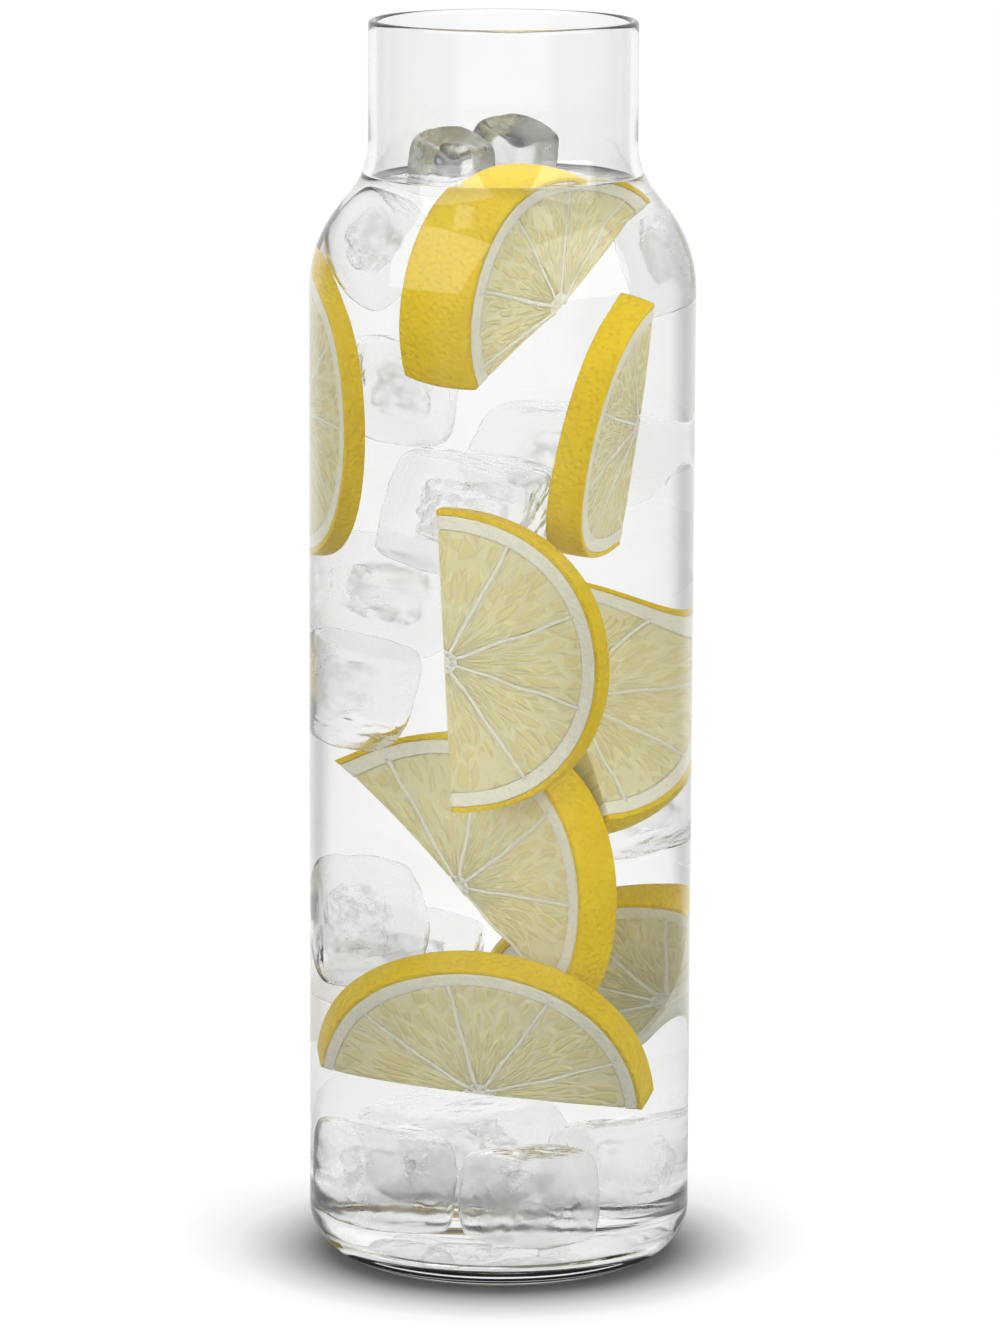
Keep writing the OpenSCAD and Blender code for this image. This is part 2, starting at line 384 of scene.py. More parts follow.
class Mottle(Effect):
    """Two colours mixed by soft cloudy noise, with the noise as a mask."""

    detail: float = 4.0
    roughness: float = 0.55

    def __init__(self) -> None:
        """Builds the group: noise, spread about its middle by the contrast, picks between the colours."""
        super().__init__("mottle", {
            "Where": ("NodeSocketVector", 0.0), "Scale": ("NodeSocketFloat", 100.0),
            "Contrast": ("NodeSocketFloat", 2.0), "First": ("NodeSocketColor", (1, 1, 1, 1)),
            "Second": ("NodeSocketColor", (0, 0, 0, 1)),
        }, {"Colour": "NodeSocketColor", "Mask": "NodeSocketFloat"})
        g, given = self.graph, self.given
        noise = g.cloud(given["Where"], given["Scale"], self.detail)
        noise.inputs["Roughness"].default_value = self.roughness
        spread = g.math("MULTIPLY", g.math("SUBTRACT", noise.outputs[0], 0.5), given["Contrast"])
        mask = g.math("ADD", spread, 0.5, clamp=True)
        self.give(Colour=g.blend(mask, given["First"], given["Second"]), Mask=mask)


class Dimples(Effect):
    """Small rounded hollows, as the oil glands of a rind or pits in melting ice."""

    hollow: tuple[float, float] = (0.1, 0.6)

    def __init__(self) -> None:
        """Builds the group: distance to the nearest cell middle, rounded off, lowers the surface."""
        super().__init__("dimples", {
            "Where": ("NodeSocketVector", 0.0), "Scale": ("NodeSocketFloat", 800.0),
            "Depth": ("NodeSocketFloat", 0.0002),
        }, {"Normal": "NodeSocketVector", "Mask": "NodeSocketFloat"})
        g, given = self.graph, self.given
        cell = g.add("ShaderNodeTexVoronoi", {"Vector": given["Where"], "Scale": given["Scale"]},
                     feature="SMOOTH_F1").outputs["Distance"]
        mask = g.ramp(cell, *self.hollow)
        self.give(Normal=g.relief(mask, given["Depth"]), Mask=mask)


class Vesicles(Effect):
    """Juice sacs that lie along the radius of a cut segment, with fine lines between them."""

    bend_scale: float = 3.0
    bend_share: float = 0.06
    stretch: Triple = (38.0, 5.2, 1.0)
    line_width: float = 0.22
    strength: float = 0.8

    def __init__(self) -> None:
        """Builds the group: cells stretched along the radius, whose edges are the mask and a low relief."""
        super().__init__("vesicles", {
            "Where": ("NodeSocketVector", 0.0), "Depth": ("NodeSocketFloat", 0.0004),
        }, {"Normal": "NodeSocketVector", "Mask": "NodeSocketFloat"})
        g, given = self.graph, self.given
        bend = g.cloud(given["Where"], self.bend_scale).outputs[1]
        pushed = g.add("ShaderNodeMix", {0: self.bend_share, 4: given["Where"], 5: bend},
                       data_type="VECTOR").outputs[1]
        stretched = g.add("ShaderNodeMapping", {"Vector": pushed, "Scale": self.stretch}).outputs[0]
        cell = g.add("ShaderNodeTexVoronoi", {"Vector": stretched, "Scale": 1.0},
                     feature="DISTANCE_TO_EDGE").outputs["Distance"]
        mask = g.ramp(cell, 0.0, self.line_width)
        self.give(Normal=g.relief(mask, given["Depth"], self.strength), Mask=mask)


@dataclass(frozen=True)
class Effects:
    """The shared effects."""

    mottle: Mottle
    dimples: Dimples
    vesicles: Vesicles


# Finishes


@dataclass(frozen=True)
class Ground:
    """What a finish is built on: its material's graph, the piece's own coordinates and the shared effects."""

    graph: Graph
    where: Socket
    effects: Effects


@dataclass(frozen=True)
class Finish:
    """A procedural material: two colours in clouds of a scale and a contrast, under a Principled shader."""

    name: str
    colour: Colour
    shade: Colour
    scale: float
    contrast: float

    def clouds(self, ground: Ground, scale: float, contrast: float) -> Outputs:
        """The finish's two colours, mottled at a scale and a contrast."""
        inputs = {"Where": ground.where, "Scale": scale, "Contrast": contrast, "First": self.colour}
        return ground.effects.mottle.place(ground.graph, inputs | {"Second": self.shade})

    def pits(self, ground: Ground, scale: float, depth: float) -> Outputs:
        """Rounded hollows at a scale and a depth in metres."""
        inputs = {"Where": ground.where, "Scale": scale, "Depth": depth}
        return ground.effects.dimples.place(ground.graph, inputs)

    def material(self, effects: Effects) -> Material:
        """Builds the material: the mottled colour and the finish's own inputs feed the shader.

        Args:
            effects: the shared effects.

        Returns:
            The finished material.
        """
        material = bpy.data.materials.new(self.name)
        material.use_nodes = True
        g = Graph(material.node_tree)
        ground = Ground(g, g.own_place(), effects)
        tone = self.clouds(ground, self.scale, self.contrast)
        inputs = {"Base Color": tone["Colour"]} | self.inputs(ground, tone)
        shader = g.add("ShaderNodeBsdfPrincipled", inputs)
        g.add("ShaderNodeOutputMaterial", {"Surface": shader.outputs[0]})
        return material

    def inputs(self, ground: Ground, tone: Outputs) -> Inputs:
        """The shader's other inputs, which each kind of finish gives.

        Args:
            ground: what the finish is built on.
            tone: the mottle's colour and mask.

        Returns:
            The inputs by name.
        """
        raise NotImplementedError


@dataclass(frozen=True)
class Clear(Finish):
    """Clear glass, water or ice: what light passes through, with faint waves in its surface."""

    ior: float
    wave: float
    wave_depth: float
    haze: float = 0.0

    def inputs(self, ground: Ground, tone: Outputs) -> Inputs:
        """Full transmission; the roughness is the mask times the haze, and noise lifts the normal.

        Args:
            ground: what the finish is built on.
            tone: the mottle's colour and mask.

        Returns:
            The inputs by name.
        """
        g = ground.graph
        normal = g.relief(g.cloud(ground.where, self.wave).outputs[0], self.wave_depth)
        return {"Roughness": g.math("MULTIPLY", tone["Mask"], self.haze), "IOR": self.ior,
                "Transmission Weight": 1.0, "Normal": normal}


def clear_body(name: str, ior: float, tint: Triple, wave: float, wave_depth: float, haze: float = 0.0,
               scale: float = 90.0) -> Clear:
    """A clear finish whose second colour is its tint, a little darker.

    Args:
        name: the material's name.
        ior: the index of refraction.
        tint: what its light is multiplied by.
        wave: the scale of the waves in its surface.
        wave_depth: how deep they are, in metres.
        haze: how rough its cloudy places are.
        scale: the scale of the clouds.

    Returns:
        The finish.
    """
    darker = 0.985
    shade = tuple(darker * c for c in tint)
    return Clear(name, tint + (1,), shade + (1,), scale, 3.0, ior, wave, wave_depth, haze)


@dataclass(frozen=True)
class WettedWall(Finish):
    """The inner wall under water: the water's own side bends the light there, so this face shows nothing."""

    name: str = "wetted_wall"
    colour: Colour = (1, 1, 1, 1)
    shade: Colour = (0.98, 0.98, 0.98, 1)
    scale: float = 30.0
    contrast: float = 1.0

    def inputs(self, ground: Ground, tone: Outputs) -> Inputs:
        """Full transmission with an alpha of nought."""
        return {"Roughness": 0.0, "IOR": 1.33, "Transmission Weight": 1.0, "Alpha": 0.0}


@dataclass(frozen=True)
class WaterFace(Finish):
    """The water's upper face, which is left out where a floating cube passes through it."""

    name: str = "water_face"
    colour: Colour = (1, 1, 1, 1)
    shade: Colour = (0.97, 0.98, 0.98, 1)
    scale: float = 60.0
    contrast: float = 2.0
    ior: float = WATER_IOR
    wave: float = 140.0
    wave_depth: float = 0.0004

    def inputs(self, ground: Ground, tone: Outputs) -> Inputs:
        """Full transmission; the alpha is nought where the place map's first number is over a half.

        Args:
            ground: what the finish is built on.
            tone: the mottle's colour and mask; not used.

        Returns:
            The inputs by name.
        """
        g = ground.graph
        outside_cubes = g.math("LESS_THAN", g.split(g.map_place())[0], 0.5)
        normal = g.relief(g.cloud(ground.where, self.wave).outputs[0], self.wave_depth)
        return {"Roughness": 0.0, "IOR": self.ior, "Transmission Weight": 1.0, "Alpha": outside_cubes,
                "Normal": normal}


@dataclass(frozen=True)
class CloudyHeart(Finish):
    """The white, bubbly middle of an ice cube, patchy and thin."""

    name: str = "ice_heart"
    colour: Colour = (0.93, 0.94, 0.95, 1.0)
    shade: Colour = (0.7, 0.72, 0.74, 1.0)
    scale: float = 210.0
    contrast: float = 4.0
    most: float = 0.55

    def inputs(self, ground: Ground, tone: Outputs) -> Inputs:
        """Flecks where fine patches and slow clouds meet: the alpha is both masks times the most.

        Args:
            ground: what the finish is built on.
            tone: the mottle's colour and mask; not used.

        Returns:
            The inputs by name.
        """
        g = ground.graph
        patch = self.clouds(ground, 380.0, 7.0)
        thin = self.clouds(ground, 70.0, 5.0)
        pits = self.pits(ground, 420.0, 0.0008)
        flecks = g.math("MULTIPLY", patch["Mask"], thin["Mask"])
        return {"Roughness": 0.55, "IOR": 1.05, "Transmission Weight": 0.35, "Normal": pits["Normal"],
                "Alpha": g.math("MULTIPLY", flecks, self.most)}


@dataclass(frozen=True)
class Rind(Finish):
    """Waxy lemon rind with oil glands."""

    name: str = "lemon_rind"
    colour: Colour = (0.95, 0.70, 0.02, 1.0)
    shade: Colour = (0.86, 0.60, 0.012, 1.0)
    scale: float = 110.0
    contrast: float = 2.2
    gland_tone: float = 0.25

    def inputs(self, ground: Ground, tone: Outputs) -> Inputs:
        """The glands darken the colour, roughen the wax and press into the normal.

        Args:
            ground: what the finish is built on.
            tone: the mottle's colour and mask.

        Returns:
            The inputs by name.
        """
        g = ground.graph
        glands = self.pits(ground, 900.0, 0.00022)
        deep = g.blend(g.math("MULTIPLY", glands["Mask"], self.gland_tone), tone["Colour"], self.shade)
        return {"Base Color": deep, "Roughness": g.ramp(glands["Mask"], 0, 1, 0.3, 0.45),
                "Specular IOR Level": 0.12, "Subsurface Weight": 0.25, "Subsurface Radius": (1.0, 0.7, 0.1),
                "Subsurface Scale": 0.0004, "Normal": glands["Normal"]}


@dataclass(frozen=True)
class Pith(Finish):
    """Spongy cream pith and membranes, which let some light through."""

    name: str = "lemon_pith"
    colour: Colour = (0.98, 0.95, 0.79, 1.0)
    shade: Colour = (0.95, 0.91, 0.71, 1.0)
    scale: float = 380.0
    contrast: float = 1.6

    def inputs(self, ground: Ground, tone: Outputs) -> Inputs:
        """A dull sponge with fine pores."""
        pores = self.pits(ground, 1500.0, 0.0001)
        return {"Roughness": 0.55, "Specular IOR Level": 0.1, "Subsurface Weight": 0.3,
                "Subsurface Radius": (1.0, 0.85, 0.5), "Subsurface Scale": 0.0006, "Normal": pores["Normal"]}


@dataclass(frozen=True)
class Pulp(Finish):
    """Wet, see-through juice sacs."""

    name: str = "lemon_pulp"
    colour: Colour = (0.96, 0.87, 0.49, 1.0)
    shade: Colour = (0.93, 0.81, 0.38, 1.0)
    scale: float = 90.0
    contrast: float = 1.8
    line: Colour = (0.98, 0.93, 0.66, 1.0)
    line_tone: float = 0.5

    def inputs(self, ground: Ground, tone: Outputs) -> Inputs:
        """Sacs on the place map, which runs round the slice and along its radius, with paler lines.

        Args:
            ground: what the finish is built on.
            tone: the mottle's colour and mask.

        Returns:
            The inputs by name.
        """
        g = ground.graph
        sacs = ground.effects.vesicles.place(g, {"Where": g.map_place(), "Depth": 0.00025})
        colour = g.blend(g.ramp(sacs["Mask"], 0, 1, self.line_tone, 0.0), tone["Colour"], self.line)
        return {"Base Color": colour, "Roughness": g.ramp(sacs["Mask"], 0, 1, 0.4, 0.22),
                "Transmission Weight": 0.12, "IOR": 1.1, "Subsurface Weight": 0.35,
                "Subsurface Radius": (1.0, 0.85, 0.4), "Subsurface Scale": 0.002, "Normal": sacs["Normal"]}


# The carafe and the water


@dataclass
class CarafeGlass:
    """The blown glass body: one closed wall from the punt over the rim to the inner floor. Sizes in metres.

    The shoulder and the flare are arcs that meet at the turn, in degrees; their middles are given as radii.
    """

    body: float = 40 * MM
    inner: float = 38 * MM
    neck: float = 27.8 * MM
    throat: float = 25.8 * MM
    seat: float = 26.0 * MM
    shoulder: float = 203.91 * MM
    flare: float = 234.5 * MM
    seat_height: float = 240.5 * MM
    rim: float = 258.6 * MM
    rim_round: float = 0.9 * MM
    floor: float = 5 * MM
    heel: float = 10 * MM
    floor_round: float = 8 * MM
    punt: float = 24 * MM
    punt_height: float = 1.2 * MM
    shoulder_middle: float = 13 * MM
    flare_middle: float = 44.3 * MM
    turn: float = 38.0
    around: int = 256

    def outer_profile(self) -> np.ndarray:
        """Radius and height along the outside: punt bowl, foot, heel, wall, shoulder, flare and neck.

        The bowl falls with the square of the radius, and a little faster at its edge.

        Returns:
            The points; each part's last number says how many it gets.
        """
        share = np.linspace(0.02, 1.0, 14)
        bowl_height = self.punt_height * (1 - share ** 2) * (1 - 0.1 * share ** 6)
        foot = self.body - self.heel
        return np.concatenate([
            np.stack([share * self.punt, bowl_height], -1),
            line((self.punt, 0.0), (foot, 0.0), 3),
            arc((foot, self.heel), self.heel, -90, 0, 22),
            line((self.body, self.heel), (self.body, self.shoulder), 40),
            arc((self.shoulder_middle, self.shoulder), self.body - self.shoulder_middle, 0, self.turn, 20),
            arc((self.flare_middle, self.flare), self.flare_middle - self.neck, 180 + self.turn, 180, 16),
            line((self.neck, self.flare), (self.neck, self.rim), 12),
        ])

    def inner_profile(self) -> np.ndarray:
        """Radius and height along the inside, from the floor's middle up to the seat of the neck.

        Returns:
            The points; each part's last number says how many it gets.
        """
        corner = (self.inner - self.floor_round, self.floor + self.floor_round)
        return np.concatenate([
            line((0.0, self.floor), (corner[0], self.floor), 16),
            arc(corner, self.floor_round, -90, 0, 18),
            line((self.inner, corner[1]), (self.inner, self.shoulder), 60),
            arc((self.shoulder_middle, self.shoulder), self.inner - self.shoulder_middle, 0, self.turn, 22),
            arc((self.flare_middle, self.flare), self.flare_middle - self.throat, 180 + self.turn, 180, 26),
            line((self.throat, self.flare), (self.seat, self.seat_height), 4),
        ])

    def build(self, wetted_to: float, glass: Material, wetted: Material) -> bpy.types.Object:
        """Spins the whole profile, and marks the inner wall under the water as wetted.

        Args:
            wetted_to: how high the water wets the wall.
            glass: the clear glass.
            wetted: the finish of the wall under water.

        Returns:
            The glass piece.
        """
        lip = arc((self.neck - self.rim_round, self.rim), self.rim_round, 0, 180, 16)
        down = line((self.seat, self.rim), (self.seat, self.seat_height), 10)
        outside = np.concatenate([self.outer_profile(), lip, down])
        profile = np.concatenate([outside, self.inner_profile()[::-1]])
        surface = loft(spin(profile, self.around))
        wet = np.zeros(len(profile) - 1, np.int32)
        wet[len(outside):] = 1
        wet[(profile[:-1, 1] > wetted_to) | (profile[1:, 1] > wetted_to)] = 0
        surface.quad_slots = np.repeat(wet, self.around)
        surface.triangle_slots[self.around:] = 1
        return make_piece("carafe_glass", [surface], [glass, wetted], "glass_carafe")


@dataclass(frozen=True)
class WaterLine:
    """The water line, and the unit of length in which the contents hang from it."""

    height: float = 226.8 * MM
    unit: float = 38 * MM

    def place(self, share: Triple) -> np.ndarray:
        """A place from its shares of the unit: to the right, to the back, and down from the water line."""
        return np.array([share[0] * self.unit, share[1] * self.unit, self.height - share[2] * self.unit])


@dataclass
class IceLump:
    """A melting ice cube: a soft-cornered cube with shallow hollows and a cloudy heart."""

    node: str
    share: Triple
    size: float
    turn: Triple
    body: Body = Body.VESSEL
    water_line: WaterLine = WaterLine()
    edge: float = 22 * MM
    squareness: int = 14
    round_share: float = 0.76
    round_hold: int = 10
    hollow: float = 0.055
    heart: float = 0.6
    heart_hollow: float = 0.3
    slow_wave: float = 1.3
    quick_wave: float = 0.4
    quick_share: float = 0.22
    dry_rise: float = 0.4 * MM

    def reach(self, ways: np.ndarray, scale: float = 1.0) -> np.ndarray:
        """How far the surface lies from the middle in each direction.

        A cube with soft edges is half its edge over the root of the sum of the direction's parts, each to the
        power of the squareness. A ball softly holds its corners back, and slow and quick waves press shallow
        hollows into it.

        Args:
            ways: unit directions, in the cube's own axes.
            scale: how big the lump is beside the cube.

        Returns:
            The distances, in metres.
        """
        side = self.edge * self.size
        cube = side / 2 / (np.abs(ways) ** self.squareness).sum(-1) ** (1 / self.squareness)
        ball = side * self.round_share
        held = (cube ** -self.round_hold + ball ** -self.round_hold) ** (-1 / self.round_hold)
        seed = seed_of(self.node)
        slow, quick = ripple(ways, self.slow_wave, seed), ripple(ways, self.quick_wave, seed + 1)
        dent = 0.5 + 0.5 * slow + self.quick_share * quick
        deep = self.hollow if scale == 1.0 else self.heart_hollow
        return scale * held * (1 - deep * np.clip(dent, 0, 1.2))

    def outside(self, points: np.ndarray) -> np.ndarray:
        """How far points are outside the lump along the line from its middle.

        Args:
            points: where to look, in metres.

        Returns:
            The distances; less than nought is inside.
        """
        away = (points - self.water_line.place(self.share)) @ turned(self.turn)
        far = np.linalg.norm(away, axis=-1)
        return far - self.reach(away / np.maximum(far, 1e-9)[..., None])

    def lump(self, scale: float, rows: int, around: int) -> Surface:
        """One closed lump on a grid of two angles: unit directions times the reach.

        Args:
            scale: how big it is beside the cube.
            rows: steps from pole to pole.
            around: steps round the axis.

        Returns:
            The lump in its place.
        """
        down = np.linspace(0, math.pi, rows + 2)[1:-1, None]
        turn = np.linspace(0, FULL_TURN, around, endpoint=False)[None, :]
        ways = swept(np.sin(down), turn, np.cos(down))
        surface = loft(ways * self.reach(ways, scale)[..., None])
        return surface.moved(turned(self.turn), self.water_line.place(self.share))

    def build(self, wet: Material, dry: Material, heart: Material) -> bpy.types.Object:
        """Makes the lump and its heart, with the dry finish above the water.

        Args:
            wet: the finish of ice in water.
            dry: the finish of ice in air.
            heart: the finish of the cloudy middle.

        Returns:
            The ice piece.
        """
        shell = self.lump(1.0, 56, 88)
        dry_from = self.water_line.height + self.dry_rise
        shell.quad_slots, shell.triangle_slots = ((h > dry_from).astype(np.int32) for h in shell.heights())
        core = self.lump(self.heart, 36, 56)
        core.quad_slots[:] = 2
        core.triangle_slots[:] = 2
        finishes = [wet, dry, heart]
        return make_piece(self.node + "_lump", [shell, core], finishes, self.node, self.body)


@dataclass
class Drink:
    """The water: it fills the glass to its line, and climbs at the wall and round the floating cubes.

    Points of the glass's own profile are kept up to a share of the climb, and its upright part starts after the
    floor's points.
    """

    glass: CarafeGlass
    water_line: WaterLine = WaterLine()
    film: float = 0.06 * MM
    climb: float = 0.8 * MM
    cube_climb: float = 0.8
    kept_climb: float = 0.85
    floor_points: int = 20
    fade: float = 1.6 * MM
    swell: float = 0.12 * MM
    swell_length: float = 14 * MM
    swell_seed: int = 5
    middle_hole: float = 0.4 * MM
    ring_spread: float = 1.25
    around: int = 288
    rings: int = 96

    def wetted_to(self) -> float:
        """How high the water stands at the wall."""
        return self.water_line.height + self.climb

    def build(self, floating: tuple[IceLump, ...], inside: Material, face: Material) -> bpy.types.Object:
        """Makes the water: wall points inside the glass, then rings of its upper face.

        The face's height is the water line plus the climb times e to the minus distance over the fade length,
        with the distance to the wall and to each floating cube, and a faint swell on top.

        Args:
            floating: the cubes that stand out of the water.
            inside: the finish where water meets glass.
            face: the finish where water meets air.

        Returns:
            The water piece.
        """
        level, highest = self.water_line.height, self.wetted_to()
        profile = self.glass.inner_profile()
        wall = profile[profile[:, 1] < level + self.climb * self.kept_climb]
        upright = profile[self.floor_points:]
        edge = float(np.interp(highest, upright[:, 1], upright[:, 0]))
        wall = np.concatenate([wall, [[edge, highest]]]) - [self.film, 0.0]
        wall[:, 1] = np.maximum(wall[:, 1], self.glass.floor + self.film)
        wall[:, 0] = np.maximum(wall[:, 0], self.middle_hole)
        across = (edge - self.film) * (1 - np.linspace(0, 1, self.rings + 2)[1:-1] ** self.ring_spread)
        rows = spin(np.concatenate([wall, np.stack([across, np.full(self.rings, level)], -1)]), self.around)
        upper = rows[len(wall):]
        flat = upper.copy()
        lift = np.exp((across - edge) / self.fade)[:, None] * np.ones((1, self.around))
        cube = np.zeros(lift.shape)
        for lump in floating:
            away = lump.outside(flat)
            lift = np.maximum(lift, self.cube_climb * np.exp(-np.maximum(away, 0) / self.fade))
            cube = np.maximum(cube, away < 0)
        swell = self.swell * ripple(flat[..., :2], self.swell_length, self.swell_seed)
        upper[..., 2] += self.climb * lift + swell
        places = np.zeros(rows.shape[:2] + (2,))
        places[len(wall):, :, 0] = cube
        surface = loft(rows, places)
        bands = np.zeros(len(rows) - 1, np.int32)
        bands[len(wall) - 1:] = 1
        surface.quad_slots = np.repeat(bands, self.around)
        surface.triangle_slots[self.around:] = 1
        return make_piece("drinking_water", [surface], [inside, face], "water")


# The lemon slices


@dataclass
class LemonSlice:
    """A half slice of lemon: a band of rind, pith with membranes, and segments of pulp.

    The width and the thickness are shares of the whole lemon's width, and the phase and the turn are degrees.
    """

    name: str
    share: Triple
    width: float
    thick: float
    turn: Triple
    phase: float
    water_line: WaterLine = WaterLine()
    lemon: float = 66 * MM
    skin: float = 1.1 * MM
    pith: float = 3.0 * MM
    membrane: float = 0.8 * MM
    proud: float = 0.03 * MM
    core: float = 2.5 * MM
    gap: float = 0.05 * MM
    relief: float = 0.1 * MM
    core_relief: float = 0.03 * MM
    core_bevel: float = 0.2 * MM
    pulp_bevel: float = 0.18 * MM
    segment_corner: float = 0.22 * MM
    rind_corner: float = 0.16 * MM
    rind_wobble: float = 0.0025
    pith_corner: float = 0.2 * MM
    pith_wobble: float = 0.002
    wall_corner: float = 0.12 * MM
    wall_bend: float = 0.25 * MM
    wall_bend_length: float = 14 * MM
    wall_reach: float = 0.5 * MM
    sac_width: float = 16 * MM
    sac_stretch: float = 0.35
    sac_size: float = 2.4 * MM
    segments: int = 9
    least_segment: float = 6.0
    end_margin: float = 0.5

    @property
    def radius(self) -> float:
        """The outer radius."""
        return self.width * self.lemon / 2

    @property
    def half(self) -> float:
        """Half the thickness."""
        return self.thick * self.lemon / 2

    @property
    def flesh(self) -> float:
        """The radius of the pulp."""
        return self.radius - self.skin - self.pith

    def band(self, inner: float, outer: float, soften: float, wobble: float) -> Surface:
        """A half ring between two balls: a soft rectangle of radius and height, carried round half a turn.

        Args:
            inner: the inner ball's radius.
            outer: the outer ball's radius.
            soften: how soft the rectangle's corners are.
            wobble: how uneven the radius is.

        Returns:
            The closed half ring, in the slice's own axes.
        """
        deep = outer - inner
        box = np.array([[0, -self.half], [deep, -self.half], [deep, self.half], [0, self.half]])
        loop = soft_loop(box, 64, soften)
        height = loop[:, 1]
        low, high = np.sqrt(inner ** 2 - height ** 2), np.sqrt(outer ** 2 - height ** 2)
        radius = low + (high - low) * loop[:, 0] / deep
        turn = np.radians(np.linspace(-90, 90, 150))[:, None]
        radius = radius * (1 + wobble * ripple(swept(1.0, turn, height / outer), 0.5, seed_of(self.name)))
        places = np.stack([turn / math.pi + 0 * radius, radius / self.radius], -1)
        return loft(swept(radius, turn, height), places)

    def pillow(self, outline: np.ndarray, bevel: float, relief: float, seed: int) -> Surface:
        """A flat piece with soft edges: the outline shrunk towards its middle on both faces.

        Both faces carry a low relief of sacs along the radius, and the piece follows the lemon's ball: x
        and y shrink by the root of one minus height squared over flesh radius squared.

        Args:
            outline: closed loop of x and y.
            bevel: the edge's rounding.
            relief: how high the sacs stand.
            seed: picks the relief.

        Returns:
            The closed piece, in the slice's own axes.
        """
        rings, rim = 14, 0.93
        turn = np.linspace(0, math.pi / 2, 6)[1:]
        share = np.concatenate([np.linspace(0.05, rim, rings), rim + (1 - rim) * np.sin(turn)])
        height = np.concatenate([np.full(rings, -self.half), -self.half + bevel * (1 - np.cos(turn))])
        share, height = np.concatenate([share, share[::-1]]), np.concatenate([height, -height[::-1]])
        middle = outline.mean(0)
        flat = middle + share[:, None, None] * (outline - middle)
        around = np.arctan2(flat[..., 1], flat[..., 0])
        radius = np.linalg.norm(flat, axis=-1)
        side = np.sign(height)[:, None]
        sacs = np.stack([around * self.sac_width, radius * self.sac_stretch], -1) + side[..., None]
        edge_fade = 1 - share[:, None] ** 8
        raised = height[:, None] + side * relief * ripple(sacs, self.sac_size, seed) * edge_fade
        shrink = np.sqrt(np.maximum(1 - (height / self.flesh) ** 2, 0.2))[:, None, None]
        rows = np.concatenate([flat * shrink, raised[..., None]], -1)
        return loft(rows, np.stack([around / math.pi, radius / self.radius], -1))

    def wall(self, angle: float) -> Surface:
        """A membrane between two segments: a soft rectangle carried along the radius, with a slow bend.

        Args:
            angle: where it stands, in degrees.

        Returns:
            The closed membrane, in the slice's own axes.
        """
        turn = math.radians(angle)
        box = np.array([[-1, -1], [1, -1], [1, 1], [-1, 1]]) * [self.membrane / 2, self.half + self.proud]
        loop = soft_loop(box, 32, self.wall_corner)
        radius = np.linspace(self.core * 0.5, self.flesh + self.wall_reach, 30)[:, None]
        bend = ripple(radius[..., None] + angle, self.wall_bend_length, int(angle) + 200)
        side = loop[:, 0] + self.wall_bend * bend
        rows = np.stack([radius * math.cos(turn) - side * math.sin(turn),
                         radius * math.sin(turn) + side * math.cos(turn), 0 * radius + loop[:, 1]], -1)
        return loft(rows, np.stack([0 * side + turn / math.pi, 0 * side + radius / self.radius], -1))

    def cuts(self) -> np.ndarray:
        """The angles of the membranes within the half disc: even steps from the phase, in degrees.

        Returns:
            The angles, from the least.
        """
        step = 360 / self.segments
        angles = (self.phase + step * np.arange(self.segments) + 180) % 360 - 180
        return np.sort(angles[np.abs(angles) < 90 - self.end_margin])

    def sector(self, start: float, end: float) -> np.ndarray:
        """A segment's outline: two straight sides that leave room for the membranes, and two arcs.

        Args:
            start: the first angle, in degrees.
            end: the last angle, in degrees.

        Returns:
            The soft closed outline.
        """
        room = self.membrane / 2 - self.gap
        first, last = (self.gap if abs(abs(a) - 90) < 0.01 else room for a in (start, end))
        a, b = math.radians(start), math.radians(end)
        inner = max(self.core + self.gap, 1.35 * (first + last) / (b - a))
        outer = self.flesh - self.gap
        run = np.linspace(inner, outer, 30)
        low, high = a + np.arcsin(first / run), b - np.arcsin(last / run)
        far, near = np.linspace(low[-1], high[-1], 40)[1:-1], np.linspace(high[0], low[0], 8)[1:-1]
        angle = np.concatenate([low, far, high[::-1], near])
        radius = np.concatenate([run, np.full(len(far), outer), run[::-1], np.full(len(near), inner)])
        outline = np.stack([radius * np.cos(angle), radius * np.sin(angle)], -1)
        return soft_loop(outline, 128, self.segment_corner)

    def build(self, rind: Material, pith: Material, pulp: Material) -> None:
        """Makes the rind, the pith and the pulp of the slice in its place.

        Args:
            rind: the rind's finish.
            pith: the finish of pith and membranes.
            pulp: the pulp's finish.
        """
        seed = seed_of(self.name)
        skin = [self.band(self.radius - self.skin, self.radius, self.rind_corner, self.rind_wobble)]
        rim, cut = arc((0, 0), self.core, -90, 90, 24), line((0, self.core), (0, -self.core), 10)
        half_disc = soft_loop(np.concatenate([rim, cut]), 64, self.core_bevel)
        skin_inside = self.radius - self.skin - self.gap
        white = [self.band(self.flesh, skin_inside, self.pith_corner, self.pith_wobble)]
        white += [self.wall(float(angle)) for angle in self.cuts()]
        white += [self.pillow(half_disc, self.core_bevel, self.core_relief, seed)]
        edges = np.concatenate([[-90.0], self.cuts(), [90.0]])
        sacs = [self.pillow(self.sector(a, b), self.pulp_bevel, self.relief, seed + 7 * i)
                for i, (a, b) in enumerate(zip(edges[:-1], edges[1:])) if b - a > self.least_segment]
        turn, place = turned(self.turn), self.water_line.place(self.share)
        for word, node, parts, finish, slot in (("rind", "peel", skin, rind, Slot.PEEL),
                                                ("white", "pith", white, pith, Slot.PITH),
                                                ("flesh", "pulp", sacs, pulp, Slot.PULP)):
            make_piece(f"{self.name}_{word}", [s.moved(turn, place) for s in parts], [finish],
                       f"{self.name}_{node}")


# What floats and sinks in the water


